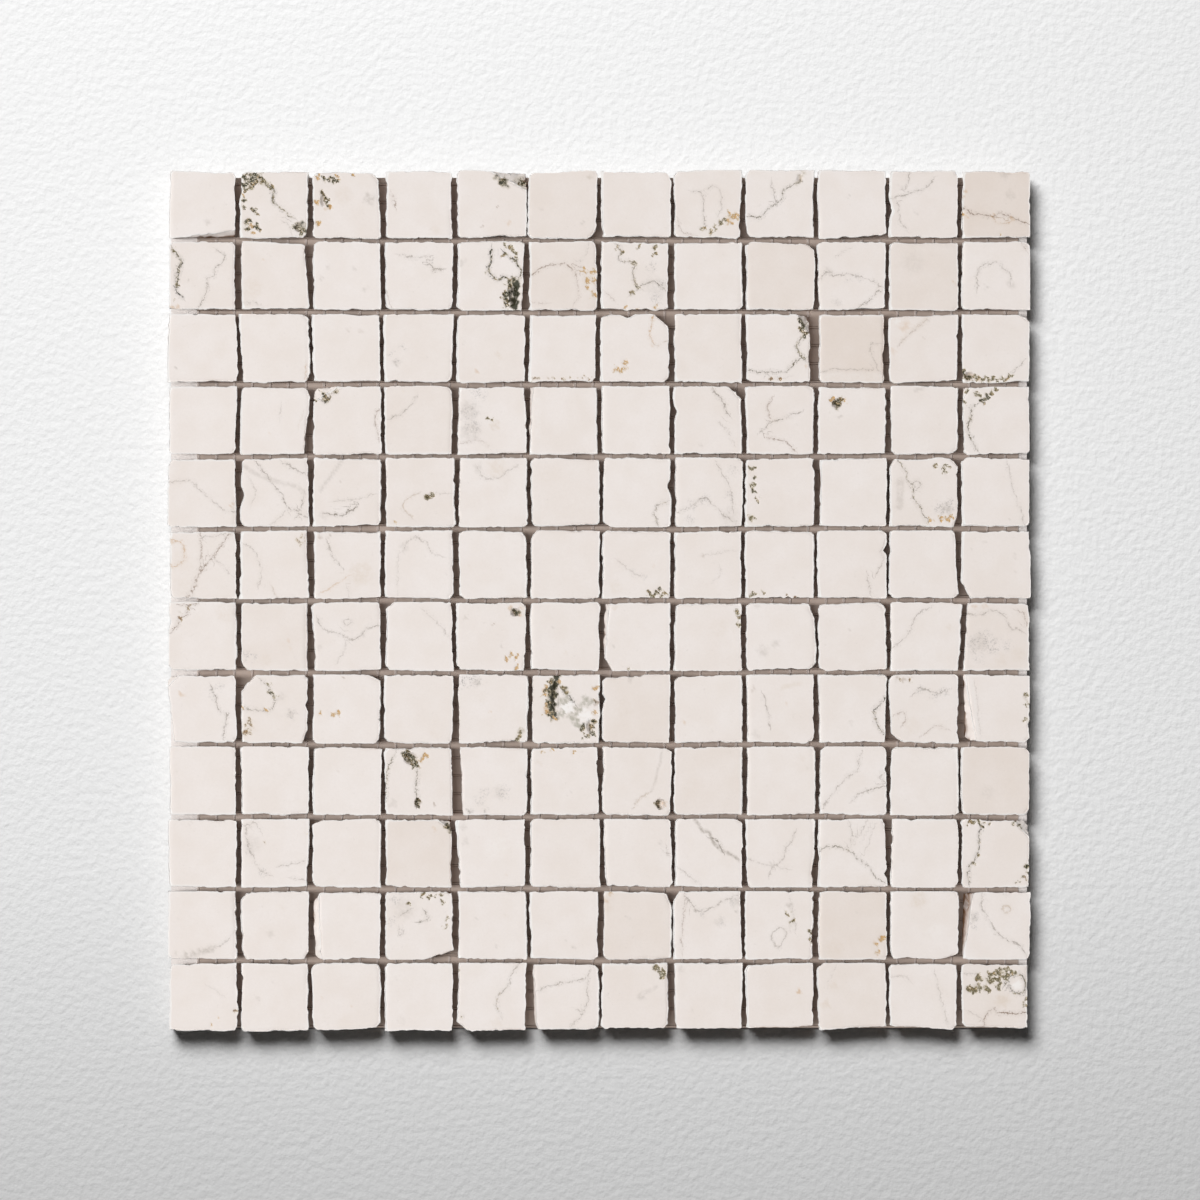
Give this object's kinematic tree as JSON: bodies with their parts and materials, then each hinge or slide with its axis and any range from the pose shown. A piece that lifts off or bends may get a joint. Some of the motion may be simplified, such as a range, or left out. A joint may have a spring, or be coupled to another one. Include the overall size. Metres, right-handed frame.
{
  "type": "mosaic tile sheet",
  "caption": "Flat square sheet of small chipped-edge stone tiles in a close grid, held on a resin-coated net so that they are laid on a wall or floor as one piece.",
  "frame": {"origin": "middle of the sheet, on the underside of its backing", "axes": "+X along a row of stones, +Y across the rows towards the first row, +Z out of the stones' faces"},
  "size_m": [0.3046, 0.304, 0.0107],
  "materials": {
    "stone": "honed faces with chipped edges, pits and veins",
    "net_yarn": "matt glass yarn",
    "resin": "thin clear-brown coat"
  },
  "bodies": {
    "root": {"stone_row_01": "stone", "stone_row_02": "stone", "stone_row_03": "stone", "stone_row_04": "stone", "stone_row_05": "stone", "stone_row_06": "stone", "stone_row_07": "stone", "stone_row_08": "stone", "stone_row_09": "stone", "stone_row_10": "stone", "stone_row_11": "stone", "stone_row_12": "stone", "net_warp": "net_yarn", "net_weft": "net_yarn", "resin_coat": "resin"}
  },
  "joints": []
}
